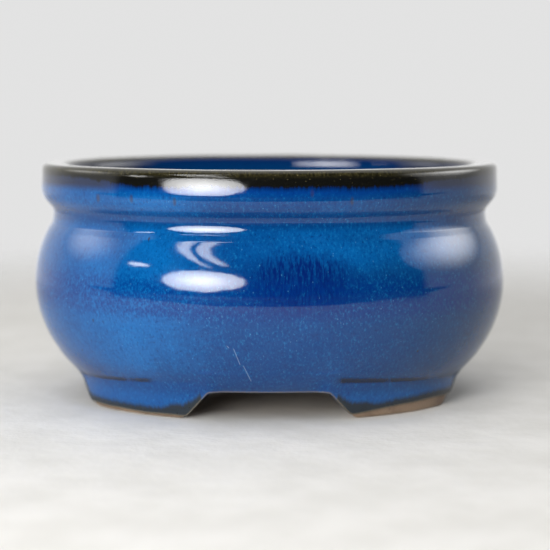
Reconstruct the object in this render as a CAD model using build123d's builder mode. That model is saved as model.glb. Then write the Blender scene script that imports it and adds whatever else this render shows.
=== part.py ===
"""Oval glazed stoneware bonsai pot on four feet, with its drain screens and clips.

Millimetres. +Z is up, +X runs along the pot's length, and the origin is at the middle of the plane
that the feet stand on. Every wall section is drawn in the XZ plane at the pot's right end, then swept
round the belly's ellipse, so the wall keeps one thickness all the way round.
"""
from build123d import *
import os

# Whole pot
length = 152.0
width = 120.0
height = 76.0
glaze = 0.5
half_length = length / 2
half_width = width / 2

# Belly: two arcs that share an upright tangent at the widest level
belly_height = 38.2
belly_upper_radius = 35.0
belly_lower_radius = 38.0
wall_thickness = 5.5

# Neck groove, and the band above it
neck_inset = 6.4
neck_radius = 3.4
band_inset = 2.5
band_underside_height = 61.2
band_corner_height = 65.0
band_corner_radius = 4.5
band_top_radius = 1.8
lip_width = 9.2
lip_inner_radius = 3.0

# Floor
floor_underside = 9.5
floor_thickness = 6.0
floor_corner_radius = 8.0
shoulder_radius = 8.0
floor_overlap = 3.0

# Feet: a battered ring, cut into four by trapezoid gaps
foot_base = (61.8, 44.5)
foot_top = (61.8, 49.0)
foot_top_height = 12.0
foot_thickness = 9.0
foot_edge_radius = 0.8
side_gap_roof = 37.4
side_gap_ground = 52.0
end_gap_roof = 28.0
end_gap_ground = 40.0
gap_corner_radius = 2.5

# Where the glaze stops: wiped off the foot's lower edge, and dipped part way down the inside
bare_foot_edge = 2.2
inner_glaze_end = 50.0

# Drain holes and tie-wire holes
drain_spacing = 52.0
drain_radius = 7.0
tie_spacing_x = 20.0
tie_spacing_y = 38.0
tie_radius = 1.75

# Mesh screen over each drain hole, and the bent wire that holds it down
mesh_cells = 7
mesh_pitch = 3.5
mesh_strand = 1.0
mesh_thickness = 1.0
mesh_corner_radius = 1.5
wire_radius = 0.6
wire_bend = 1.4
wire_wing = 13.0
wire_clearance = 0.05
mesh_size = mesh_cells * mesh_pitch + mesh_strand
wire_leg = mesh_pitch

# Levels and centres that several pieces share
floor_top = floor_underside + floor_thickness
mouth = half_length - band_inset - lip_width
upper_centre = (half_length - belly_upper_radius, belly_height)
lower_centre = (half_length - belly_lower_radius, belly_height)
inner_upper_radius = belly_upper_radius - glaze - wall_thickness
inner_lower_radius = belly_lower_radius - glaze - wall_thickness
clay_mouth = mouth + glaze
clay_neck = half_length - neck_inset - glaze
clay_band = half_length - band_inset - glaze
clay_top = height - glaze


def circle_x(centre, radius, z):
    """X at which a circle's right-hand side reaches height z."""
    return centre[0] + (radius**2 - (z - centre[1]) ** 2) ** 0.5


def circle_top(centre, radius, x):
    """Height at which a circle's upper half reaches x."""
    return centre[1] + (radius**2 - (x - centre[0]) ** 2) ** 0.5


def belly_arc(centre, radius, start, end):
    """Arc of a belly circle between two points on it."""
    middle = (start[1] + end[1]) / 2
    ThreePointArc(start, (circle_x(centre, radius, middle), middle), end)


def corner(sketch, point):
    """The sketch vertex nearest to a section point."""
    return sketch.vertices().sort_by_distance(point)[0]


def gap_outline(roof, ground):
    """Gap between two feet, straight-sided and rounded where its sides meet the ground."""
    flare = (ground - roof) / 2 / floor_underside
    top = ground / 2 - flare * foot_top_height
    skirt = ground / 2 + 2 * gap_corner_radius
    with BuildSketch() as gap:
        with BuildLine():
            Polyline(
                (-top, foot_top_height),
                (top, foot_top_height),
                (ground / 2, 0),
                (skirt, 0),
                (skirt, -gap_corner_radius),
                (-skirt, -gap_corner_radius),
                (-skirt, 0),
                (-ground / 2, 0),
                close=True,
            )
        make_face()
        fillet(corner(gap, (-ground / 2, 0)), gap_corner_radius)
        fillet(corner(gap, (ground / 2, 0)), gap_corner_radius)
    return gap.sketch


# Bowl: one section holds the floor's edge, the belly, the neck and the straight wall behind the band
with BuildPart() as clay_body:
    with BuildLine():
        EllipticalCenterArc((0, 0), half_length, half_width, arc_size=360)
    with BuildSketch(Plane.XZ) as wall_section:
        outer_edge = (circle_x(lower_centre, belly_lower_radius - glaze, floor_underside), floor_underside)
        outer_waist = (half_length - glaze, belly_height)
        outer_neck = (clay_neck, circle_top(upper_centre, belly_upper_radius - glaze, clay_neck))
        inner_neck = (clay_mouth, circle_top(upper_centre, inner_upper_radius, clay_mouth))
        inner_waist = (half_length - glaze - wall_thickness, belly_height)
        inner_edge = (circle_x(lower_centre, inner_lower_radius, floor_top), floor_top)
        floor_seam = inner_edge[0] - 2 * floor_corner_radius
        with BuildLine():
            belly_arc(lower_centre, belly_lower_radius - glaze, outer_edge, outer_waist)
            belly_arc(upper_centre, belly_upper_radius - glaze, outer_waist, outer_neck)
            Polyline(outer_neck, (clay_neck, clay_top), (clay_mouth, clay_top), inner_neck)
            belly_arc(upper_centre, inner_upper_radius, inner_neck, inner_waist)
            belly_arc(lower_centre, inner_lower_radius, inner_waist, inner_edge)
            Polyline(inner_edge, (floor_seam, floor_top), (floor_seam, floor_underside), outer_edge)
        make_face()
        fillet(corner(wall_section, inner_edge), floor_corner_radius)
        fillet(corner(wall_section, inner_neck), shoulder_radius)
        fillet(corner(wall_section, (clay_mouth, clay_top)), lip_inner_radius - glaze)
    sweep()
    with BuildSketch(Plane.XY.offset(floor_underside)):
        seam_inset = half_length - floor_seam - floor_overlap
        Ellipse(half_length - seam_inset, half_width - seam_inset)
    extrude(amount=floor_thickness)
    with BuildSketch(Plane.XY.offset(floor_underside)):
        with GridLocations(drain_spacing, 0, 2, 1):
            Circle(drain_radius)
        with GridLocations(tie_spacing_x, tie_spacing_y, 2, 2):
            Circle(tie_radius)
    extrude(amount=floor_thickness, mode=Mode.SUBTRACT)

# Band: a clay strip luted round the outside of the mouth
with BuildPart() as rim_band:
    with BuildLine():
        EllipticalCenterArc((0, 0), half_length, half_width, arc_size=360)
    with BuildSketch(Plane.XZ) as band_section:
        band_corner = (clay_band, band_corner_height)
        band_top = (clay_band, clay_top)
        with BuildLine():
            Polyline((clay_neck, band_underside_height), band_corner, band_top, (clay_neck, clay_top), close=True)
        make_face()
        fillet(corner(band_section, band_corner), band_corner_radius - glaze)
        fillet(corner(band_section, band_top), band_top_radius - glaze)
    sweep()

# Foot: the right front quarter of a battered ring, cut off at the gaps and shaped to the belly
with BuildPart() as front_right_foot:
    with BuildSketch(Plane.XY):
        Ellipse(*foot_base)
    with BuildSketch(Plane.XY.offset(foot_top_height)):
        Ellipse(*foot_top)
    loft()
    with BuildSketch(Plane.XY):
        Ellipse(foot_base[0] - foot_thickness, foot_base[1] - foot_thickness)
    extrude(amount=foot_top_height, mode=Mode.SUBTRACT)
    split(bisect_by=Plane.YZ, keep=Keep.TOP)
    split(bisect_by=Plane.XZ, keep=Keep.TOP)
    with BuildSketch(Plane.XZ):
        add(gap_outline(side_gap_roof, side_gap_ground))
    extrude(amount=half_width, mode=Mode.SUBTRACT)
    with BuildSketch(Plane.YZ):
        add(gap_outline(end_gap_roof, end_gap_ground))
    extrude(amount=half_length, mode=Mode.SUBTRACT)
    ground_edges = front_right_foot.faces().sort_by(Axis.Z)[0].edges()
    fillet(ground_edges.sort_by(SortBy.LENGTH)[-2:], foot_edge_radius)
    add(clay_body.part, mode=Mode.SUBTRACT)

with BuildPart() as front_left_foot:
    mirror(front_right_foot.part, about=Plane.YZ)

with BuildPart() as rear_right_foot:
    mirror(front_right_foot.part, about=Plane.XZ)

with BuildPart() as rear_left_foot:
    mirror(front_left_foot.part, about=Plane.XZ)

# Glaze on the feet: a skin over the ring's outer face, above the bare edge
with BuildPart() as foot_glaze:
    with BuildSketch(Plane.XY):
        Ellipse(foot_base[0] + glaze, foot_base[1] + glaze)
    with BuildSketch(Plane.XY.offset(foot_top_height)):
        Ellipse(foot_top[0] + glaze, foot_top[1] + glaze)
    loft()
    with BuildSketch(Plane.XY):
        Ellipse(foot_base[0] - glaze, foot_base[1] - glaze)
    extrude(amount=foot_top_height, mode=Mode.SUBTRACT)
    split(bisect_by=Plane.XY.offset(bare_foot_edge), keep=Keep.TOP)
    with BuildSketch(Plane.XZ):
        add(gap_outline(side_gap_roof, side_gap_ground))
    extrude(amount=half_width, both=True, mode=Mode.SUBTRACT)
    with BuildSketch(Plane.YZ):
        add(gap_outline(end_gap_roof, end_gap_ground))
    extrude(amount=half_length, both=True, mode=Mode.SUBTRACT)

# Glaze: the glass layer over belly, neck, band, lip and upper inside wall, joined to that on the feet
with BuildPart() as glaze_coat:
    with BuildLine():
        EllipticalCenterArc((0, 0), half_length, half_width, arc_size=360)
    with BuildSketch(Plane.XZ) as glaze_section:
        neck = half_length - neck_inset
        band = half_length - band_inset
        core_upper = inner_upper_radius + wall_thickness / 2
        core_lower = inner_lower_radius + wall_thickness / 2
        skin_edge = (circle_x(lower_centre, belly_lower_radius, floor_underside), floor_underside)
        skin_waist = (half_length, belly_height)
        skin_neck = (neck, circle_top(upper_centre, belly_upper_radius, neck))
        skin_shoulder = (mouth, circle_top(upper_centre, inner_upper_radius - glaze, mouth))
        skin_end = (circle_x(upper_centre, inner_upper_radius - glaze, inner_glaze_end), inner_glaze_end)
        core_top = (circle_x(upper_centre, core_upper, inner_glaze_end), inner_glaze_end)
        core_waist = (upper_centre[0] + core_upper, belly_height)
        core_edge = (circle_x(lower_centre, core_lower, floor_underside), floor_underside)
        with BuildLine():
            belly_arc(lower_centre, belly_lower_radius, skin_edge, skin_waist)
            belly_arc(upper_centre, belly_upper_radius, skin_waist, skin_neck)
            Polyline(
                skin_neck,
                (neck, band_underside_height),
                (band, band_corner_height),
                (band, height),
                (mouth, height),
                skin_shoulder,
            )
            belly_arc(upper_centre, inner_upper_radius - glaze, skin_shoulder, skin_end)
            Line(skin_end, core_top)
            belly_arc(upper_centre, core_upper, core_top, core_waist)
            belly_arc(lower_centre, core_lower, core_waist, core_edge)
            Line(core_edge, skin_edge)
        make_face()
        fillet(corner(glaze_section, skin_neck), neck_radius)
        fillet(corner(glaze_section, (neck, band_underside_height)), neck_radius)
        fillet(corner(glaze_section, (band, band_corner_height)), band_corner_radius)
        fillet(corner(glaze_section, (band, height)), band_top_radius)
        fillet(corner(glaze_section, (mouth, height)), lip_inner_radius)
        fillet(corner(glaze_section, skin_shoulder), shoulder_radius + glaze)
    sweep()
    add(foot_glaze.part)
    add(clay_body.part, mode=Mode.SUBTRACT)
    add(rim_band.part, mode=Mode.SUBTRACT)
    for foot in (front_left_foot, front_right_foot, rear_left_foot, rear_right_foot):
        add(foot.part, mode=Mode.SUBTRACT)

# Screen: plastic mesh lying on the floor over the right drain hole
with BuildPart() as right_drain_screen:
    with BuildSketch(Plane.XY.offset(floor_top)):
        with Locations((drain_spacing / 2, 0)):
            RectangleRounded(mesh_size, mesh_size, mesh_corner_radius)
            with GridLocations(mesh_pitch, mesh_pitch, mesh_cells, mesh_cells):
                Rectangle(mesh_pitch - mesh_strand, mesh_pitch - mesh_strand, mode=Mode.SUBTRACT)
    extrude(amount=mesh_thickness)

with BuildPart() as left_drain_screen:
    mirror(right_drain_screen.part, about=Plane.YZ)

# Clip: a wire staple over the screen, its legs down the drain hole and turned out under the floor
with BuildPart() as right_screen_clip:
    with BuildLine(Plane.XZ) as wire_path:
        crown = floor_top + mesh_thickness + wire_radius + wire_clearance
        underneath = floor_underside - wire_radius - wire_clearance
        hole = drain_spacing / 2
        FilletPolyline(
            (hole - wire_wing, underneath),
            (hole - wire_leg, underneath),
            (hole - wire_leg, crown),
            (hole + wire_leg, crown),
            (hole + wire_leg, underneath),
            (hole + wire_wing, underneath),
            radius=wire_bend,
        )
    with BuildSketch(Plane(wire_path.line @ 0, z_dir=wire_path.line % 0)):
        Circle(wire_radius)
    sweep()

with BuildPart() as left_screen_clip:
    mirror(right_screen_clip.part, about=Plane.YZ)

pieces = {
    "clay_body": clay_body,
    "rim_band": rim_band,
    "front_left_foot": front_left_foot,
    "front_right_foot": front_right_foot,
    "rear_left_foot": rear_left_foot,
    "rear_right_foot": rear_right_foot,
    "glaze_coat": glaze_coat,
    "left_drain_screen": left_drain_screen,
    "right_drain_screen": right_drain_screen,
    "left_screen_clip": left_screen_clip,
    "right_screen_clip": right_screen_clip,
}
os.makedirs("parts", exist_ok=True)
for name, piece in pieces.items():
    piece.part.label = name
    export_step(piece.part, f"parts/{name}.step")
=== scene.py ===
"""Looks of the oval glazed bonsai pot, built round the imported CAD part.

The pot's own sizes are in millimetres, as in the CAD part, and turn into metres when a mesh is made.
The glaze is a closed skin with a mesh of its own, and so is the clay band behind its rim. The bowl, the
feet, the screens and the clips are the CAD nodes, with materials. Lights and glows are placed by
direction: azimuth 0 is the front, negative to the left, in degrees.
"""
import math
from collections import namedtuple

import bpy
import numpy as np
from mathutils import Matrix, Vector


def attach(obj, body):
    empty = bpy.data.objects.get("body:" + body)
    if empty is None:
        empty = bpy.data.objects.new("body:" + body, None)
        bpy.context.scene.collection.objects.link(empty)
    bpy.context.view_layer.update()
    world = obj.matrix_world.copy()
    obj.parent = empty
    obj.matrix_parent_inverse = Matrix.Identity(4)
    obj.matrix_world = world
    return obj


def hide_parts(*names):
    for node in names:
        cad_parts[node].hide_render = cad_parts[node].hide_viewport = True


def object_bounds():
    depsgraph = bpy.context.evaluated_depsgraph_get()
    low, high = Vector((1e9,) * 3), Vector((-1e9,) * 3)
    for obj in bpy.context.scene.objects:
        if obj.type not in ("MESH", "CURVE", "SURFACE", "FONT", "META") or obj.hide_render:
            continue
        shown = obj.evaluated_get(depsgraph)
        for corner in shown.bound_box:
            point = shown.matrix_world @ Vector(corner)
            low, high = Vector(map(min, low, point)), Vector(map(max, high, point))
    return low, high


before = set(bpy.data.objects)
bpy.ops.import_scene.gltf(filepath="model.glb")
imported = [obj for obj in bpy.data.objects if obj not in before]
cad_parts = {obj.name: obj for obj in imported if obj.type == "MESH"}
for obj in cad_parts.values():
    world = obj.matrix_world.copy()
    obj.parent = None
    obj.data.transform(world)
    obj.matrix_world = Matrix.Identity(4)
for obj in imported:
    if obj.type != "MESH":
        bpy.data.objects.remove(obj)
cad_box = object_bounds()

MM = 0.001
Corner = namedtuple("Corner", "x z radius")
Skin = namedtuple("Skin", "ring offset z low crease")

# Whole pot, from the frame
half_length = cad_box[1].x / MM
half_width = cad_box[1].y / MM
height = cad_box[1].z / MM

# Belly of the glaze's section at the pot's right end: two arcs, joined at its widest height
belly_height = 38.2
belly_upper_radius = 35.0
belly_lower_radius = 38.0
upper_centre = (half_length - belly_upper_radius, belly_height)
lower_centre = (half_length - belly_lower_radius, belly_height)
wall = 6.5
inner_radius = belly_upper_radius - wall
inner_shoulder_radius = 8.5

# Corners of the section from the shoulder to the inside of the lip, each with its rounding
shoulder_angle = math.radians(29)
shoulder_radius = 6.0
neck_foot = Corner(half_length - 5.58, 57.0, 0.8)
neck_middle = Corner(half_length - 5.98, 58.4, 10.0)
neck_root = Corner(half_length - 6.1, 61.28, 3.0)
band_corner = Corner(half_length - 2.72, 65.32, 6.0)
band_waist = Corner(half_length - 2.37, 67.94, 9.0)
band_top = Corner(half_length - 2.7, height - 0.15, 1.7)
lip_crown = Corner(half_length - 7.0, height, 30.0)
lip_inside = Corner(half_length - 11.7, height - 0.4, 3.0)

# Front and back of the band: how far its face has curved in, this high above where the curve starts,
# and the power by which that fades towards the ends
band_bulge = 0.585
band_bulge_height = 6.0
band_bulge_start = band_waist.z + 0.5
band_bulge_fading = 1.5

# Feet, out to the glaze's face: half axes of their ellipses, and the gaps' half widths
foot_base = (62.3, 45.0)
foot_top = (62.3, 50.1)
foot_top_height = 12.0
foot_zone_height = 16.0
gap_roof_height = 9.05
gap_roof_rounding = 0.5
side_gap = {"roof": 18.3, "ground": 25.6}
end_gap = {"roof": 13.6, "ground": 19.6}

# Front and back reach out to this share of the half length, and the ends begin there
sides_reach = 0.75

# Over a gap the feet's face falls away behind the belly: from how far in, and how steeply
gap_fade_start = 0.8
gap_fade_slope = 0.8

# Crease between a foot and the belly, which softens as it comes near a gap
crease_radius = 0.35
crease_softening = 1.2
crease_softens_before_gap = 5.0
far_from_crease = 9.0

# Strip of bare clay below the glaze: how high it is, what the ends add, and where along X they do
bare_height = 0.5
bare_more_right = 2.7
bare_rise_right = (20, 52)
bare_more_left = 0.3
bare_rise_left = (30, 60)
bare_raggedness = 0.2
bare_corner_rounding = 0.9

# The olive band along the feet's lower edges stops as those climb to a gap's roof
olive_ends_heights = (6.5, 8.5)
far_from_olive = 40.0

# Glaze skin: its lower edge turns in under the pot, and further where that edge is a gap's
skin_thickness = 0.3
edge_radius = 0.45
turned_in = 0.25
turned_in_more = 7.5
turned_in_more_heights = (3.0, 4.5)
inner_glaze_end = 50.0
inner_glaze_raggedness = 0.8
inner_edge_reaches = (0.15, 0.45, 0.8)
inner_edge_drop = 0.25 * edge_radius

# Clay band behind the glaze, from just above the neck to just inside the lip's crown
clay_depth = 0.5
clay_band_start = neck_root.z + 0.5
clay_band_end = lip_crown.x - 1.0

# Unevenness of the face: size and wavelength of each kind, and how far from the edges it fades out
broad_relief = 0.07
broad_wavelength = 17.0
close_relief = 0.012
close_wavelength = 5.5
relief_fade_low = 6.0
relief_fade_inside = 4.0

# Columns stand closer beside the gaps: (middle, reach) along X and along Y, and how much closer
dense_along_x = (26.0, 8.0)
dense_along_y = (20.0, 7.0)
denser_by = 1.2

# Mesh
columns = 328
row_spacing = 1.5
rim_row_spacing = 0.8
turned_in_rows = 6
edge_rows = 4
foot_rows = 22
inner_rows = 5


# ---------------------------------------------------------------- section of the glaze

def arc(centre, radius, start, end, spacing):
    """Points along an arc, from one angle to another in radians."""
    steps = max(5, int(abs(end - start) * radius / spacing) + 1)
    angle = np.linspace(start, end, steps)
    return np.column_stack((centre[0] + radius * np.cos(angle), centre[1] + radius * np.sin(angle)))


def rounded(start, corners, end):
    """Points along a line from start to end that turns at the corners, each with its rounding."""
    stops = [np.array(stop, float) for stop in (start, *((c.x, c.z) for c in corners), end)]
    path = [stops[0]]
    for corner, before, here, after in zip(corners, stops, stops[1:], stops[2:]):
        back = (before - here) / np.linalg.norm(before - here)
        ahead = (after - here) / np.linalg.norm(after - here)
        half = math.acos(np.clip(back @ ahead, -1, 1)) / 2
        centre = here + (back + ahead) / np.linalg.norm(back + ahead) * corner.radius / math.sin(half)
        leave = here + back * corner.radius / math.tan(half) - centre
        rejoin = here + ahead * corner.radius / math.tan(half) - centre
        first = math.atan2(leave[1], leave[0])
        turn = (math.atan2(rejoin[1], rejoin[0]) - first + math.pi) % (2 * math.pi) - math.pi
        path.extend(arc(centre, corner.radius, first, first + turn, rim_row_spacing))
    path.append(stops[-1])
    return filled(np.array(path))


def filled(path):
    """The same path with points added where they lie far apart."""
    points = [path[:1]]
    for before, here in zip(path, path[1:]):
        steps = math.ceil(np.linalg.norm(here - before) / rim_row_spacing)
        points.append(np.linspace(before, here, steps + 1)[1:])
    return np.vstack(points)


def blend_to_wall(centre, circle_radius, wall_x, radius):
    """Centre and angle of the arc that joins a circle to an upright wall outside it."""
    x = wall_x + radius
    z = centre[1] + math.sqrt((circle_radius + radius) ** 2 - (x - centre[0]) ** 2)
    return (x, z), math.atan2(z - centre[1], x - centre[0])


def section(start_height):
    """The glaze's face from the lower belly over the rim, and the angle where the inner belly starts."""
    inner_centre, inner_angle = blend_to_wall(upper_centre, inner_radius, lip_inside.x,
                                              inner_shoulder_radius)
    start_angle = math.asin((start_height - belly_height) / belly_lower_radius)
    upper_belly = arc(upper_centre, belly_upper_radius, 0, shoulder_angle, row_spacing)
    shoulder = Corner(*upper_belly[-1], shoulder_radius)
    corners = (shoulder, neck_foot, neck_middle, neck_root, band_corner, band_waist, band_top, lip_crown,
               lip_inside)
    path = np.vstack((
        arc(lower_centre, belly_lower_radius, start_angle, 0, row_spacing),
        upper_belly[1:-2],
        rounded(upper_belly[-2], corners, (lip_inside.x, inner_centre[1])),
        arc(inner_centre, inner_shoulder_radius, math.pi, math.pi + inner_angle, row_spacing)[1:],
    ))
    return path, inner_angle


# ---------------------------------------------------------------- shape round the pot

def smooth_max(a, b, size):
    """The larger of two fields, with a rounded change-over."""
    return (a + b + np.sqrt((a - b) ** 2 + size**2)) / 2


def smooth_step(value, low, high):
    """0 below low, 1 above high, and smooth between them."""
    share = np.clip((value - low) / (high - low), 0, 1)
    return share * share * (3 - 2 * share)


def waves(angle, seed, orders):
    """A smooth closed curve round the pot, about -1 to 1, from a fixed seed."""
    draw = np.random.RandomState(seed)
    total = np.zeros_like(angle)
    for order in range(*orders):
        total = total + draw.uniform(0.3, 1) * np.sin(order * angle + draw.uniform(0, 2 * math.pi))
    return total / (orders[1] - orders[0]) ** 0.5


def bell(distance, middle, reach):
    """1 at a middle distance, either way, and falling off smoothly with its reach."""
    return np.exp(-(((abs(distance) - middle) / reach) ** 2))


def column_angles():
    """Angles round the ellipse, even along its edge but closer together beside the gaps."""
    fine = np.linspace(0, 2 * math.pi, 20001)
    x, y = half_length * np.cos(fine), half_width * np.sin(fine)
    beside_gap = bell(x, *dense_along_x) + bell(y, *dense_along_y) * (abs(x) > half_length / 2)
    speed = np.hypot(half_length * np.sin(fine), half_width * np.cos(fine))
    density = speed * (1 + denser_by * beside_gap)
    share = np.concatenate(([0], np.cumsum((density[1:] + density[:-1]) / 2)))
    return np.interp(np.linspace(0, share[-1], columns + 1)[:-1], share, fine)


class Ring:
    """The belly's ellipse, and the directions square to it, at every column."""

    def __init__(self):
        self.angle = column_angles()
        self.x = half_length * np.cos(self.angle)
        self.y = half_width * np.sin(self.angle)
        square = np.hypot(self.x / half_length**2, self.y / half_width**2)
        self.out_x = self.x / half_length**2 / square
        self.out_y = self.y / half_width**2 / square
        self.on_side = abs(self.x) < half_length * sides_reach

    def foot_offset(self, z):
        """Distance outwards from the ellipse to the feet's battered face at height z."""
        rise = z / foot_top_height
        a = foot_base[0] + (foot_top[0] - foot_base[0]) * rise
        b = foot_base[1] + (foot_top[1] - foot_base[1]) * rise
        square = (self.out_x / a) ** 2 + (self.out_y / b) ** 2
        cross = 2 * (self.x * self.out_x / a**2 + self.y * self.out_y / b**2)
        rest = (self.x / a) ** 2 + (self.y / b) ** 2 - 1
        return (-cross + np.sqrt(cross**2 - 4 * square * rest)) / (2 * square)

    def foot_place(self, z):
        """How far along X and Y, either way, the feet's face stands at height z."""
        offset = self.foot_offset(z)
        return abs(self.x + offset * self.out_x), abs(self.y + offset * self.out_y)

    def points(self, offset, z):
        """Points in a list, from offsets square to the ellipse and heights."""
        x = self.x + offset * self.out_x
        y = self.y + offset * self.out_y
        return (np.stack((x, y, z), axis=-1).reshape(-1, 3) * MM).tolist()


def belly_offset(z):
    """Distance outwards from the ellipse to the lower belly at height z."""
    return lower_centre[0] + np.sqrt(belly_lower_radius**2 - (z - belly_height) ** 2) - half_length


def lower_face(ring, z):
    """The glaze's offset where belly and feet meet, and how far the belly stands out past the feet."""
    along_x, along_y = ring.foot_place(z)
    inside_gap = np.where(ring.on_side, side_gap["roof"] - along_x, end_gap["roof"] - along_y)
    foot = ring.foot_offset(z) - gap_fade_slope * np.maximum(inside_gap - gap_fade_start, 0)
    radius = crease_radius + crease_softening * smooth_step(inside_gap, -crease_softens_before_gap, 0)
    return smooth_max(belly_offset(z), foot, radius), belly_offset(z) - foot


def glaze_line(ring):
    """Height of the bare clay strip that the wiped glaze leaves along the feet's lower edge."""
    right = bare_more_right * smooth_step(ring.x, *bare_rise_right)
    left = bare_more_left * smooth_step(-ring.x, *bare_rise_left)
    return bare_height + right + left + bare_raggedness * waves(ring.angle, 4, (5, 24))


def lower_edge(ring):
    """Height of the glaze's lower edge: the gaps' roofs, their sloping sides and the glaze line."""
    z = np.full(columns, gap_roof_height / 2)
    bare = glaze_line(ring)
    # Where the edge stands depends on its height, so it settles over a few rounds
    for _ in range(4):
        along_x, along_y = ring.foot_place(z)
        cut = np.zeros(columns)
        for along, gap, near in ((along_x, side_gap, ring.on_side), (along_y, end_gap, ~ring.on_side)):
            slope = gap_roof_height * (gap["ground"] - along) / (gap["ground"] - gap["roof"])
            roof = gap_roof_height - smooth_max(gap_roof_height - slope, 0.0, gap_roof_rounding)
            cut = np.where(near, np.maximum(roof, 0), cut)
        z = smooth_max(cut, bare, bare_corner_rounding)
    return z


def edge_grid(ring, low):
    """Rows of the glaze's lower edge: turned in under the pot, then round to the outer face."""
    bottom, _ = lower_face(ring, low + edge_radius)
    depth = turned_in + turned_in_more * smooth_step(low, *turned_in_more_heights)
    rows = [(bottom - edge_radius - depth * share, low)
            for share in np.linspace(1, 0, turned_in_rows + 1)[:-1]]
    for turn in np.linspace(math.pi / 2, 0, edge_rows + 1)[:-1]:
        rows.append((bottom - edge_radius + edge_radius * math.cos(turn),
                     low + edge_radius * (1 - math.sin(turn))))
    return rows


def foot_grid(ring, low):
    """Rows of the feet's faces and the belly just above them, and their distances past the crease."""
    rows = []
    crease = []
    for share in np.linspace(0, 1, foot_rows + 1)[:-1]:
        z = low + edge_radius + (foot_zone_height - low - edge_radius) * share
        face, beyond = lower_face(ring, z)
        rows.append((face, z))
        crease.append(beyond)
    return rows, crease


def inner_grid(ring, start_angle):
    """Rows down the inner belly to the glaze's ragged end, and its thin closing edge."""
    end = inner_glaze_end + inner_glaze_raggedness * waves(ring.angle, 9, (3, 30))
    end_angle = np.arcsin((end - belly_height) / inner_radius)
    rows = []
    for share in np.linspace(0, 1, inner_rows + 1)[1:]:
        angle = start_angle + (end_angle - start_angle) * share
        rows.append((upper_centre[0] + inner_radius * np.cos(angle) - half_length,
                     belly_height + inner_radius * np.sin(angle)))
    for reach in inner_edge_reaches:
        rows.append((rows[-1][0] + reach, rows[-1][1] - inner_edge_drop))
    return rows


def skin_grid():
    """Rows of glaze points as offsets and heights, with the lower edge and the crease distances."""
    ring = Ring()
    low = lower_edge(ring)
    rows = edge_grid(ring, low)
    crease = [np.full(columns, -far_from_crease)] * len(rows)
    foot, foot_crease = foot_grid(ring, low)
    rows += foot
    crease += foot_crease
    shape, start_angle = section(foot_zone_height)
    rows += [(np.full(columns, x - half_length), np.full(columns, z)) for x, z in shape]
    rows += inner_grid(ring, start_angle)
    crease += [np.full(columns, far_from_crease)] * (len(rows) - len(crease))
    offset = np.array([row[0] for row in rows])
    z = np.array([row[1] for row in rows])
    above = np.maximum(z - band_bulge_start, 0) * (offset > lip_crown.x - half_length)
    offset = offset - band_bulge * (above / band_bulge_height) ** 2 * abs(ring.out_y) ** band_bulge_fading
    return Skin(ring, offset, z, low, np.array(crease))


def relief(ring, path):
    """Unevenness of a pressed and dipped pot, a fraction of a millimetre."""
    broad_phase = path / broad_wavelength + waves(ring.angle, 12, (1, 4))
    close_phase = path / close_wavelength + 2 * waves(ring.angle, 14, (3, 9))
    broad = waves(ring.angle, 11, (2, 7)) * np.sin(broad_phase)
    close = waves(ring.angle, 13, (7, 22)) * np.sin(close_phase)
    return broad_relief * broad + close_relief * close


def swollen(skin, path, from_end, to_end):
    """The skin's offsets and heights, moved along its normals by the relief, but not at its edges."""
    bend_offset = np.gradient(skin.offset, axis=0)
    bend_z = np.gradient(skin.z, axis=0)
    bend = np.maximum(np.hypot(bend_offset, bend_z), 1e-6)
    fade = smooth_step(from_end, 0, relief_fade_low) * smooth_step(to_end, 0, relief_fade_inside)
    swell = relief(skin.ring, path) * fade
    return skin.offset + swell * bend_z / bend, skin.z - swell * bend_offset / bend


def grid_faces(rows, closed):
    """Four-cornered faces between rows of columns; a closed grid joins its last row to its first."""
    index = np.arange(rows * columns).reshape(rows, columns)
    beside = np.roll(index, -1, axis=1)
    corners = (index, beside, np.roll(beside, -1, axis=0), np.roll(index, -1, axis=0))
    faces = np.stack(corners, axis=-1)
    return (faces if closed else faces[:-1]).reshape(-1, 4).tolist()


def add_mesh(name, points, faces):
    """A new smooth-shaded object."""
    mesh = bpy.data.meshes.new(name)
    mesh.from_pydata(points, [], faces)
    mesh.polygons.foreach_set("use_smooth", [True] * len(mesh.polygons))
    return add_object(name, mesh)


def add_values(mesh, name, values):
    """One number per point, for a material to read."""
    attribute = mesh.attributes.new(name, "FLOAT", "POINT")
    attribute.data.foreach_set("value", values.ravel().astype(np.float32))


def build_glaze():
    """The glaze's closed skin, with the distances that its material reads, and the clay band behind it."""
    skin = skin_grid()
    ring = skin.ring
    step = np.hypot(np.diff(skin.offset, axis=0), np.diff(skin.z, axis=0))
    path = np.vstack((np.zeros(columns), np.cumsum(step, axis=0)))
    from_end = path - path[turned_in_rows + edge_rows - 1]
    to_end = path[-1 - len(inner_edge_reaches)] - path
    offset, z = swollen(skin, path, from_end, to_end)
    glaze = add_mesh("glaze", ring.points(offset, z), grid_faces(len(path), closed=False))
    mesh = glaze.data
    from_crest = path[np.argmax(z[:, 0])] - path
    up_a_gap = far_from_olive * smooth_step(skin.low, *olive_ends_heights)
    add_values(mesh, "rim_distance", from_crest)
    add_values(mesh, "foot_distance", from_end + up_a_gap)
    add_values(mesh, "crease_distance", skin.crease)
    add_values(mesh, "edge_distance", np.minimum(abs(from_end), abs(to_end)))
    round_pot = [np.broadcast_to(side, path.shape) for side in (ring.x, ring.y)]
    flow = mesh.attributes.new("flow", "FLOAT_VECTOR", "POINT")
    flow.data.foreach_set("vector", np.stack((*round_pot, -from_crest), axis=-1).ravel().astype(np.float32))
    shell = glaze.modifiers.new("shell", "SOLIDIFY")
    shell.thickness = skin_thickness * MM
    shell.offset = -1
    return glaze, build_band(ring, offset, z)


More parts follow.
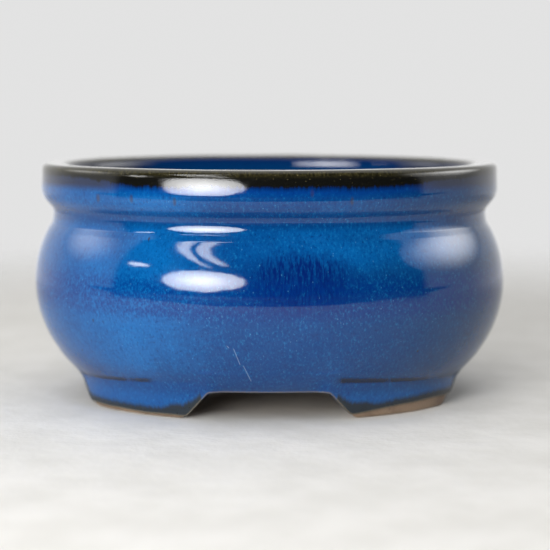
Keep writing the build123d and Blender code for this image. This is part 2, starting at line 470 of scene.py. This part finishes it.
def build_band(ring, offset, z):
    """The clay band behind the glaze of the rim: a closed ring whose face follows the glaze."""
    on_face = (z[:, 0] > clay_band_start) & (offset[:, 0] > clay_band_end - half_length)
    face = offset[on_face] - clay_depth
    levels = np.minimum(z[on_face], height - clay_depth)
    back = np.full(columns, neck_root.x - half_length - clay_depth)
    face = np.vstack((back, face, back))
    levels = np.vstack((levels[0], levels, levels[-1]))
    return add_mesh("clay_rim_band", ring.points(face, levels), grid_faces(len(face), closed=True))


# ---------------------------------------------------------------- materials
# Here n writes a material's nodes, and f holds the fields that the glaze's layers share.

class Nodes:
    """Writes nodes into a tree: each call adds a node and returns the socket it makes."""

    def __init__(self, tree):
        self.tree = tree

    def feed(self, socket, value):
        """Links a socket, or sets the value there."""
        if isinstance(value, bpy.types.NodeSocket):
            self.tree.links.new(value, socket)
        else:
            socket.default_value = value

    def add(self, kind, output, inputs, **settings):
        """A node with these settings and inputs, of which one output is wanted."""
        node = self.tree.nodes.new("ShaderNode" + kind)
        for name, value in settings.items():
            setattr(node, name, value)
        for name, value in inputs.items():
            self.feed(node.inputs[name], value)
        return node.outputs[output]

    def math(self, operation, a, b=0.0):
        """An operation on one or two numbers."""
        return self.add("Math", 0, {0: a, 1: b}, operation=operation)

    def stretch(self, vector, scale):
        """A vector scaled by its own factor along each axis."""
        return self.add("VectorMath", 0, {0: vector, 1: scale}, operation="MULTIPLY")

    def place(self):
        """Position on the piece in millimetres."""
        point = self.add("TexCoord", "Object", {})
        return self.stretch(point, (1 / MM,) * 3)

    def attribute(self, name, output="Fac"):
        """A value that the mesh carries."""
        return self.add("Attribute", output, {}, attribute_name=name)

    def noise(self, vector, scale, detail, roughness, distortion=0.0):
        """Soft random pattern from 0 to 1, finer with a larger scale."""
        return self.add("TexNoise", 0, {"Vector": vector, "Scale": scale, "Detail": detail,
                                        "Roughness": roughness, "Distortion": distortion})

    def ramp(self, value, low, high, start=0.0, end=1.0):
        """Smooth change from start to end as the value goes from low to high."""
        return self.add("MapRange", 0, {"Value": value, "From Min": low, "From Max": high,
                                        "To Min": start, "To Max": end}, interpolation_type="SMOOTHSTEP")

    def near(self, value, middle, reach, full, peak=1.0):
        """The peak within the full distance of a middle value, falling to 0 at its reach."""
        distance = self.math("ABSOLUTE", self.math("SUBTRACT", value, middle))
        return self.ramp(distance, reach, full, 0.0, peak)

    def mix(self, share, a, b):
        """Colour a, with this share of colour b."""
        node = self.tree.nodes.new("ShaderNodeMix")
        node.data_type = "RGBA"
        self.feed(node.inputs["Factor"], share)
        for socket, value in ((node.inputs[6], a), (node.inputs[7], b)):
            self.feed(socket, value if isinstance(value, bpy.types.NodeSocket) else (*value, 1))
        return node.outputs[2]

    def specks(self, vector, scale, size, share):
        """1 inside small round specks, which sit in the given share of the cells."""
        node = self.tree.nodes.new("ShaderNodeTexVoronoi")
        self.feed(node.inputs["Vector"], vector)
        node.inputs["Scale"].default_value = scale
        cell = self.add("SeparateColor", 0, {"Color": node.outputs["Color"]})
        chosen = self.math("LESS_THAN", cell, share)
        return self.math("MULTIPLY", chosen, self.ramp(node.outputs["Distance"], size, size * 0.5))

    def bump(self, height_value, depth, below=None):
        """Surface normal from a height, whose whole range stands for a depth in millimetres."""
        inputs = {"Height": height_value, "Distance": depth * MM, "Strength": 1.0}
        if below is not None:
            inputs["Normal"] = below
        return self.add("Bump", 0, inputs)

    def shade(self, **inputs):
        """Feeds the material's shader, with underscores in place of spaces in its sockets' names."""
        for name, value in inputs.items():
            self.feed(self.tree.nodes["Principled BSDF"].inputs[name.replace("_", " ")], value)


def new_material(name):
    """An empty material and the writer of its nodes."""
    material = bpy.data.materials.new(name)
    material.use_nodes = True
    return material, Nodes(material.node_tree)


def srgb(red, green, blue):
    """Linear colour of a display colour given from 0 to 255."""
    def linear(value):
        value = value / 255
        return value / 12.92 if value <= 0.04045 else ((value + 0.055) / 1.055) ** 2.4
    return tuple(linear(value) for value in (red, green, blue))


# Marks on the front: scratches by the (x, z) of their two ends, and iron blots by that of their middles
scratches = (((-12.4, 25.2), (-11.5, 24.2)), ((-10.4, 24.4), (-8.4, 18.8)), ((-7.6, 18.9), (-5.2, 13.2)))
rim_blots = ((-50.9, 67.0), (-40.4, 67.3), (-27.4, 66.8), (24.1, 67.0), (12.5, 69.7))


class GlazeFields:
    """Places, distances and noises that the glaze's colours are worked out from."""

    def __init__(self, n):
        self.place = n.place()
        self.flow = n.attribute("flow", "Vector")
        self.rim = n.attribute("rim_distance")
        self.foot = n.attribute("foot_distance")
        self.edge = n.attribute("edge_distance")
        self.crease = n.attribute("crease_distance")
        self.across = n.add("SeparateXYZ", "X", {0: self.place})
        self.front = n.ramp(n.add("SeparateXYZ", "Y", {0: self.place}), -10, -20)
        self.up = n.add("SeparateXYZ", "Z", {0: self.place})
        self.aside = n.math("ABSOLUTE", self.across)
        self.runs = n.stretch(self.flow, (1.0, 1.0, 0.22))
        self.dashes = n.stretch(self.flow, (1.0, 1.0, 0.65))
        self.clouds = n.noise(self.place, 0.04, 3, 0.55, 0.4)
        self.streaks = n.noise(self.runs, 0.8, 3, 0.6)
        self.grain = n.noise(self.dashes, 1.35, 4, 0.75)
        self.comb = n.noise(n.stretch(self.flow, (1.0, 1.0, 0.1)), 0.9, 3, 0.7)


def scratch(n, f, start, end):
    """1 on a hairline between two points of the front, seen straight on."""
    along = (end[0] - start[0], 0.0, end[1] - start[1])
    length = math.hypot(*along)
    from_start = n.add("VectorMath", "Vector", {0: f.place, 1: (start[0], 0.0, start[1])},
                       operation="SUBTRACT")
    down = n.add("VectorMath", "Value", {0: from_start, 1: tuple(c / length for c in along)},
                 operation="DOT_PRODUCT")
    across = n.add("VectorMath", "Value", {0: from_start, 1: (along[2] / length, 0.0, -along[0] / length)},
                   operation="DOT_PRODUCT")
    beside = n.ramp(n.math("ABSOLUTE", across), 0.14, 0.04)
    between_ends = n.near(down, length / 2, length / 2, length / 2 - 0.5)
    return n.math("MULTIPLY", n.math("MULTIPLY", beside, between_ends), f.front)


def blot(n, f, middle):
    """1 inside an upright oval spot of the front."""
    z_weight = 0.4
    upright = n.stretch(f.place, (1.0, 0.0, z_weight))
    distance = n.add("VectorMath", "Value", {0: upright, 1: (middle[0], 0.0, middle[1] * z_weight)},
                     operation="DISTANCE")
    return n.math("MULTIPLY", n.ramp(distance, 0.75, 0.2), f.front)


def base_blue(n, f):
    """Teal blue that turns azure to the left, with painted light from above on the shoulder, painted shade
    in the neck's groove and a fine mottled grain.
    """
    tone = n.math("ADD", n.math("MULTIPLY", f.clouds, 0.8), n.math("MULTIPLY", f.streaks, 0.2))
    wander = n.math("MULTIPLY", n.math("SUBTRACT", tone, 0.5), 1.6)
    left = n.math("MULTIPLY", n.ramp(f.across, 4, -34, 0.0, 0.6), n.ramp(f.up, 7, 20))
    # Painted light: the shoulder and upper belly turn azure as if lit from above
    shoulder = n.math("MULTIPLY", n.ramp(f.up, 44, 52, 0.0, 0.5), n.ramp(f.up, 68, 60))
    azure = n.math("ADD", n.math("MAXIMUM", left, shoulder), wander)
    inside = n.ramp(f.rim, -5.0, -9.0, 0.0, 0.9)
    feet = n.ramp(f.up, 10, 6, 0.0, 0.6)
    # Painted shade: the neck's groove under the band turns darker navy
    neck = n.math("MULTIPLY", n.near(f.up, 61.0, 3.6, 1.2), n.ramp(f.rim, 9, 12, 0.0, 0.55))
    colour = n.mix(n.ramp(f.across, 10, 70), srgb(2, 55, 110), srgb(5, 52, 96))
    colour = n.mix(n.ramp(azure, 0.0, 1.0), colour, srgb(4, 84, 146))
    colour = n.mix(inside, colour, srgb(3, 138, 218))
    colour = n.mix(feet, colour, srgb(3, 78, 142))
    colour = n.mix(neck, colour, srgb(1, 34, 84))
    colour = n.mix(n.ramp(f.grain, 0.52, 0.70, 0.0, 0.4), colour, srgb(24, 116, 168))
    return n.mix(n.ramp(f.grain, 0.48, 0.32, 0.0, 0.6), colour, srgb(1, 34, 88))


def dark_pools(n, f, colour):
    """A navy pool of thicker glaze right of the front's middle, and a belt round the widest part."""
    centre = n.add("VectorMath", "Value", {0: n.stretch(f.place, (1.0, 0.6, 1.7)), 1: (9.0, -34.0, 74.0)},
                   operation="DISTANCE")
    pool = n.ramp(n.math("ADD", centre, n.math("MULTIPLY", f.streaks, -14)), 14, 2)
    dark_runs = n.ramp(n.noise(f.runs, 1.5, 2, 0.6), 0.35, 0.6, 0.35, 0.95)
    belt = n.math("MULTIPLY", n.near(f.up, 38.5, 8.5, 3.0), n.ramp(f.grain, 0.62, 0.4, 0.15, 0.75))
    colour = n.mix(n.math("MULTIPLY", pool, dark_runs), colour, srgb(2, 24, 84))
    return n.mix(belt, colour, srgb(1, 38, 102))


def marks(n, f, colour):
    """Pale, navy and iron specks, and the iron blots on the band."""
    pale = n.math("MULTIPLY", n.specks(f.dashes, 1.1, 0.2, 0.12), 0.28)
    navy = n.math("MULTIPLY", n.specks(f.dashes, 0.7, 0.2, 0.14), 0.5)
    iron = n.math("MULTIPLY", n.specks(n.stretch(f.flow, (1.0, 1.0, 0.5)), 0.13, 0.05, 0.2), 0.8)
    colour = n.mix(pale, colour, srgb(90, 160, 200))
    colour = n.mix(navy, colour, srgb(1, 22, 70))
    colour = n.mix(iron, colour, srgb(34, 24, 22))
    for middle in rim_blots:
        colour = n.mix(n.math("MULTIPLY", blot(n, f, middle), 0.6), colour, srgb(52, 46, 50))
    return colour


def breaking_rim(n, f, colour):
    """Olive on the lip, black on the upper band, and a comb of short navy runs below it."""
    ends = n.ramp(f.aside, 38, 58, 0.0, 1.6)
    drop = n.math("ADD", n.math("MULTIPLY", f.comb, 2.6), n.math("MULTIPLY", f.clouds, 2.0))
    fall = n.math("ADD", n.math("SUBTRACT", f.rim, drop), ends)
    haze = n.math("MULTIPLY", n.ramp(f.aside, 38, 52), n.ramp(f.rim, 10.5, 7.5))
    glitter = n.math("MULTIPLY", n.specks(f.place, 1.7, 0.2, 0.12), n.ramp(f.rim, 8.0, 5.0))
    before_inside = n.ramp(n.math("ADD", f.rim, n.math("MULTIPLY", f.comb, 1.6)), -4.6, -3.6)
    colour = n.mix(n.ramp(fall, 9.4, 6.0, 0.0, 0.6), colour, srgb(1, 40, 112))
    colour = n.mix(n.ramp(fall, 7.0, 5.4, 0.0, 0.75), colour, srgb(1, 22, 62))
    colour = n.mix(haze, colour, srgb(26, 36, 60))
    olive = n.mix(n.ramp(n.noise(f.dashes, 1.3, 4, 0.75), 0.4, 0.65), srgb(26, 24, 10), srgb(54, 50, 28))
    broken = n.mix(n.ramp(f.rim, 3.6, 5.6), olive, srgb(13, 13, 11))
    broken = n.mix(n.math("MULTIPLY", glitter, 0.7), broken, srgb(150, 138, 96))
    return n.mix(n.math("MULTIPLY", n.ramp(fall, 5.9, 4.9), before_inside), colour, broken)


def creases_and_edges(n, f, colour):
    """Painted shade in the feet's creases, an olive band where the glaze thins, and brown on every edge."""
    from_crease = n.math("ABSOLUTE", n.math("SUBTRACT", f.crease, n.math("MULTIPLY", f.comb, 0.5)))
    broken = n.ramp(n.noise(n.stretch(f.flow, (1.0, 1.0, 0.0)), 0.07, 2, 0.7), 0.38, 0.48, 0.1, 0.9)
    past_gap = n.math("MAXIMUM", n.ramp(f.across, 19, 22), n.ramp(f.across, -33, -38))
    # Painted shade: a broken dark line along the crease between each foot and the belly, outside the gaps
    crease_shade = n.math("MULTIPLY", n.math("MULTIPLY", n.ramp(from_crease, 0.75, 0.2), broken), past_gap)
    beside_gap = n.near(f.aside, 27, 6, 1, 1.8)
    ragged = n.math("ADD", n.math("MULTIPLY", f.comb, 2.2), beside_gap)
    thin = n.math("MULTIPLY", n.ramp(n.math("SUBTRACT", f.foot, ragged), 2.2, 0.0), 0.92)
    past_edge = n.math("ADD", f.edge, n.math("MULTIPLY", f.grain, 0.5))
    worn = n.math("MULTIPLY", n.ramp(past_edge, 0.62, 0.3), 0.7)
    colour = n.mix(crease_shade, colour, srgb(4, 16, 40))
    colour = n.mix(thin, colour, srgb(30, 32, 22))
    colour = n.mix(worn, colour, srgb(112, 102, 84))
    for start, end in scratches:
        colour = n.mix(n.math("MULTIPLY", scratch(n, f, start, end), 0.35), colour, srgb(150, 175, 195))
    return colour


def glaze_material():
    """Blue glaze, streaked where it ran, breaking to olive and black where it is thin."""
    material, n = new_material("blue_glaze")
    f = GlazeFields(n)
    colour = base_blue(n, f)
    for layer in (dark_pools, marks, breaking_rim, creases_and_edges):
        colour = layer(n, f, colour)
    peel = n.noise(f.place, 0.22, 1, 0.4)
    fine = n.noise(f.place, 2.6, 2, 0.6)
    above_inside = n.math("MULTIPLY", fine, n.ramp(f.rim, -6, -3))
    sparkle = n.math("MULTIPLY", n.ramp(f.rim, 8, 4), above_inside)
    normal = n.bump(sparkle, 0.02, n.bump(f.grain, 0.003, n.bump(peel, 0.03)))
    roughness = n.ramp(n.noise(f.place, 0.2, 4, 0.6), 0.35, 0.7, 0.04, 0.09)
    n.shade(Base_Color=colour, Roughness=roughness, Normal=normal, IOR=1.52)
    return material


def clay_material():
    """Bare fired stoneware: warm grey-brown, grainy, with dark iron specks."""
    material, n = new_material("stoneware")
    place = n.place()
    clouds = n.noise(place, 0.06, 4, 0.6)
    grain = n.noise(place, 1.6, 4, 0.7)
    iron = n.math("MULTIPLY", n.specks(place, 0.55, 0.16, 0.3), 0.8)
    fine_iron = n.math("MULTIPLY", n.specks(place, 1.4, 0.22, 0.25), 0.5)
    pits = n.specks(place, 0.8, 0.2, 0.2)
    colour = n.mix(n.ramp(clouds, 0.35, 0.65), srgb(104, 85, 69), srgb(128, 108, 89))
    colour = n.mix(n.ramp(grain, 0.45, 0.75, 0.0, 0.45), colour, srgb(160, 141, 120))
    colour = n.mix(iron, colour, srgb(52, 38, 29))
    colour = n.mix(fine_iron, colour, srgb(80, 62, 47))
    normal = n.bump(n.math("SUBTRACT", grain, pits), 0.12, n.bump(clouds, 0.3))
    n.shade(Base_Color=colour, Roughness=n.ramp(grain, 0.3, 0.7, 0.72, 0.92), Normal=normal)
    return material


def mesh_material():
    """Black moulded plastic, slightly dusty, with a satin grain."""
    material, n = new_material("mesh_plastic")
    place = n.place()
    dust = n.noise(place, 0.35, 4, 0.6)
    grain = n.noise(place, 4.0, 3, 0.6)
    colour = n.mix(n.ramp(dust, 0.4, 0.7), srgb(26, 27, 28), srgb(58, 56, 52))
    n.shade(Base_Color=colour, Roughness=n.ramp(grain, 0.3, 0.7, 0.42, 0.62), Normal=n.bump(grain, 0.03))
    return material


def wire_material():
    """Brown anodised aluminium wire, drawn lengthwise and dulled where it was bent."""
    material, n = new_material("clip_wire")
    place = n.place()
    drawn = n.noise(n.stretch(place, (0.3, 3.0, 3.0)), 1.0, 3, 0.6)
    dull = n.noise(place, 0.4, 3, 0.6)
    colour = n.mix(n.ramp(dull, 0.35, 0.65), srgb(104, 66, 40), srgb(142, 98, 62))
    roughness = n.ramp(n.math("ADD", drawn, dull), 0.8, 1.2, 0.3, 0.5)
    n.shade(Base_Color=colour, Roughness=roughness, Normal=n.bump(drawn, 0.02), Metallic=1.0)
    return material


def paint(node, material):
    """Puts one material on all of a CAD node."""
    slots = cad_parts[node].data.materials
    slots.clear()
    slots.append(material)


# ---------------------------------------------------------------- stage, lights and camera

# Middle of the pot, in metres, which the lights and glows are placed round
pot_middle = Vector((0, 0, 0.04))

# Glows: how far away they are, in metres, and the points along a bow and round a disc
glow_distance = 1.0
bow_points = 33
disc_points = 48

# Floor and its dark card, in metres
floor_reach = 3.0
card_edge = -0.23
card_height = 0.001

# Surroundings as the camera and the pot's matte parts see them
backdrop = (0.765, 0.765, 0.765)
soft_surroundings = (0.46, 0.46, 0.455)

# Room that the glaze reflects: brightness of its parts, and where they begin, in degrees from the
# front and above the horizon
dark_front = 0.015
bright_side = 0.75
bright_back = 1.05
bright_above = 0.8
side_begins = (66, 72)
back_begins = (95, 125)
above_begins = (62, 76)

# Camera, in metres and degrees
camera_place = (0.00175, -0.4958, 0.09895)
camera_dip = 6.9
focal_length = 100
sensor_width = 36
aperture = 10
focus_reach = 0.057


def towards(azimuth, elevation, distance):
    """Point that lies that way from the middle of the pot."""
    a, e = math.radians(azimuth), math.radians(elevation)
    way = Vector((math.sin(a) * math.cos(e), -math.cos(a) * math.cos(e), math.sin(e)))
    return pot_middle + way * distance


def add_object(name, data):
    """A new object in the scene."""
    item = bpy.data.objects.new(name, data)
    bpy.context.scene.collection.objects.link(item)
    return item


def stage_piece(name, points, faces, material):
    """A mesh that belongs to the stage, not to the pot."""
    mesh = bpy.data.meshes.new(name)
    mesh.from_pydata([tuple(point) for point in points], [], faces)
    mesh.materials.append(material)
    item = add_object(name, mesh)
    return item


def only_reflections(item):
    """Makes a stage piece visible in glossy reflections and nowhere else."""
    item.visible_camera = False
    item.visible_diffuse = False
    item.visible_shadow = False
    item.visible_transmission = False


def glow_material(name, strength):
    """Emission that goes from one strength at the sheet's edge to another at its core."""
    material, n = new_material(name)
    emission = n.ramp(n.attribute("core"), 0, 1, *strength)
    n.shade(Base_Color=(0, 0, 0, 1), Emission_Color=(1, 1, 1, 1), Emission_Strength=emission)
    return material


def glow_disc(name, azimuth, elevation, width, tall, strength):
    """An elliptical glow for reflections: sizes in degrees from the pot, strengths for edge and core."""
    turns = np.linspace(0, 2 * math.pi, disc_points + 1)[:-1]
    outline = [towards(azimuth + width / 2 * math.cos(turn), elevation + tall / 2 * math.sin(turn),
                       glow_distance) for turn in turns]
    middle = sum(outline, Vector()) / disc_points
    faces = [(i, (i + 1) % disc_points, disc_points) for i in range(disc_points)]
    disc = stage_piece(name, (*outline, middle), faces, glow_material(name, strength))
    add_values(disc.data, "core", np.array([0.0] * disc_points + [1.0]))
    only_reflections(disc)


def glow_bow(name, start, bend, end, half_width, strength):
    """A tapering bow of light that leaves its start towards the bend and then turns to its end."""
    share = np.linspace(0, 1, bow_points)[:, None]
    start, bend, end = np.array(start), np.array(bend), np.array(end)
    bearings = (1 - share) ** 2 * start + 2 * share * (1 - share) * bend + share**2 * end
    taper = half_width * np.sin(math.pi * share[:, 0]) ** 0.6
    edges = [towards(azimuth + side * reach, elevation, glow_distance)
             for side in (-1, 1) for (azimuth, elevation), reach in zip(bearings, taper)]
    faces = [(i, i + 1, i + bow_points + 1, i + bow_points) for i in range(bow_points - 1)]
    bow = stage_piece(name, edges, faces, glow_material(name, (strength, strength)))
    only_reflections(bow)


def softbox(name, azimuth, elevation, distance, width, tall, radiance):
    """An elliptical soft light that faces the pot, with sizes in degrees as the pot sees them."""
    data = bpy.data.lights.new(name, "AREA")
    data.shape = "ELLIPSE"
    data.size = 2 * distance * math.tan(math.radians(width / 2))
    data.size_y = 2 * distance * math.tan(math.radians(tall / 2))
    data.energy = radiance * math.pi * (math.pi / 4 * data.size * data.size_y)
    item = add_object(name, data)
    item.location = towards(azimuth, elevation, distance)
    item.rotation_euler = (pot_middle - item.location).to_track_quat("-Z", "Y").to_euler()
    item.visible_camera = False
    item.visible_glossy = False


def build_world():
    """Pale backdrop for the camera; reflections see a room dark in front, bright elsewhere."""
    world = bpy.data.worlds.new("studio")
    bpy.context.scene.world = world
    world.use_nodes = True
    n = Nodes(world.node_tree)
    way = n.add("TexCoord", "Generated", {})
    x, y, z = (n.add("SeparateXYZ", axis, {0: way}) for axis in "XYZ")
    azimuth = n.math("ABSOLUTE", n.math("ARCTAN2", x, n.math("MULTIPLY", y, -1)))
    beside = n.ramp(azimuth, *map(math.radians, side_begins))
    above = n.ramp(n.math("ARCSINE", z), *map(math.radians, above_begins), 0.0, bright_above)
    brightness = n.ramp(azimuth, *map(math.radians, back_begins), bright_side, bright_back)
    room = n.math("ADD", n.math("MULTIPLY", n.math("MAXIMUM", beside, above), brightness), dark_front)
    reflected = n.add("CombineColor", 0, {0: room, 1: room, 2: room})
    glossy = n.add("LightPath", "Is Glossy Ray", {})
    camera = n.add("LightPath", "Is Camera Ray", {})
    shown = n.mix(camera, n.mix(glossy, soft_surroundings, reflected), backdrop)
    n.feed(world.node_tree.nodes["Background"].inputs["Color"], shown)


def floor_material():
    """Matte pale floor with a painted shadow under the pot, that fades into the backdrop away from it."""
    material, n = new_material("floor_pale")
    place = n.place()
    soft = n.noise(place, 0.05, 5, 0.6)
    distance = n.add("VectorMath", "Value", {0: place}, operation="LENGTH")
    # Painted shadow: the floor darkens in an ellipse under the pot
    under = n.add("VectorMath", "Value", {0: n.stretch(place, (1.0, 1.35, 0.0))}, operation="LENGTH")
    colour = n.mix(n.ramp(soft, 0.3, 0.7), srgb(217, 215, 210), srgb(227, 225, 221))
    colour = n.mix(n.ramp(under, 62, 40, 0.0, 0.9), colour, srgb(168, 162, 154))
    n.shade(Base_Color=colour, Roughness=0.95, Normal=n.bump(soft, 0.6), Alpha=n.ramp(distance, 520, 190))
    return material


def card_material():
    """Matte black card, slightly uneven."""
    material, n = new_material("card_black")
    soft = n.noise(n.place(), 0.08, 5, 0.6)
    n.shade(Base_Color=(0.01, 0.01, 0.01, 1), Roughness=0.9, Normal=n.bump(soft, 0.4))
    return material


def level_sheet(name, far_edge, level, material):
    """A level rectangle of the stage, from its near edge to the far edge given."""
    corners = ((-floor_reach, -floor_reach, level), (floor_reach, -floor_reach, level),
               (floor_reach, far_edge, level), (-floor_reach, far_edge, level))
    return stage_piece(name, corners, [(0, 1, 2, 3)], material)


def build_stage():
    """Pale floor, and a dark card over its far front that only reflections see."""
    level_sheet("floor", floor_reach, 0, floor_material())
    card = level_sheet("floor_card", card_edge, card_height, card_material())
    only_reflections(card)


def build_lights():
    """Soft lights that light the pot, and the shapes that the glaze shows of them."""
    softbox("main_softbox", -27, 12, distance=0.75, width=36, tall=24, radiance=17)
    softbox("top_softbox", -20, 75, distance=1.0, width=60, tall=60, radiance=1.2)
    glow_disc("main_glow", -26.5, 11.3, width=33.6, tall=19, strength=(11, 24))
    glow_bow("outer_bow", start=(-27, 55), bend=(-58, 46.5), end=(-23, 23.5), half_width=3.2, strength=9)
    glow_bow("inner_bow", start=(-18, 54.5), bend=(-45, 46), end=(-16.5, 25), half_width=3.7, strength=9)
    glow_disc("left_glint_low", -57, 21, width=11, tall=3, strength=(12, 12))
    glow_disc("left_side_glow", -96, 27, width=54, tall=32, strength=(0.77, 4))
    glow_disc("right_side_glow", 94, 25, width=70, tall=36, strength=(0.77, 8))


def build_camera():
    """Long lens a little above the rim, focused on the side of the pot that faces it."""
    data = bpy.data.cameras.new("camera")
    data.lens = focal_length
    data.sensor_width = sensor_width
    camera = add_object("camera", data)
    camera.location = camera_place
    camera.rotation_euler = (math.radians(90 - camera_dip), 0, 0)
    bpy.context.scene.camera = camera
    middle = add_object("pot_middle", None)
    middle.location = pot_middle
    focus = add_object("focus", None)
    focus.constraints.new("COPY_LOCATION").target = camera
    limit = focus.constraints.new("LIMIT_DISTANCE")
    limit.target = middle
    limit.distance = focus_reach
    limit.limit_mode = "LIMITDIST_INSIDE"
    data.dof.use_dof = True
    data.dof.focus_object = focus
    data.dof.aperture_fstop = aperture


# ---------------------------------------------------------------- the whole scene

glaze, clay_band = build_glaze()
clay = clay_material()
for piece, material, cad_node, slot in ((glaze, glaze_material(), "glaze_coat", "blue_glaze"),
                                        (clay_band, clay, "rim_band", "stoneware")):
    piece.data.materials.append(material)
    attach(piece, "root")
    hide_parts(cad_node)
for node in ("clay_body", "front_left_foot", "front_right_foot", "rear_left_foot", "rear_right_foot"):
    paint(node, clay)
plastic = mesh_material()
wire = wire_material()
for side in ("left", "right"):
    paint(side + "_drain_screen", plastic)
    paint(side + "_screen_clip", wire)

build_world()
build_stage()
build_lights()
build_camera()
bpy.context.scene.view_settings.view_transform = "Standard"
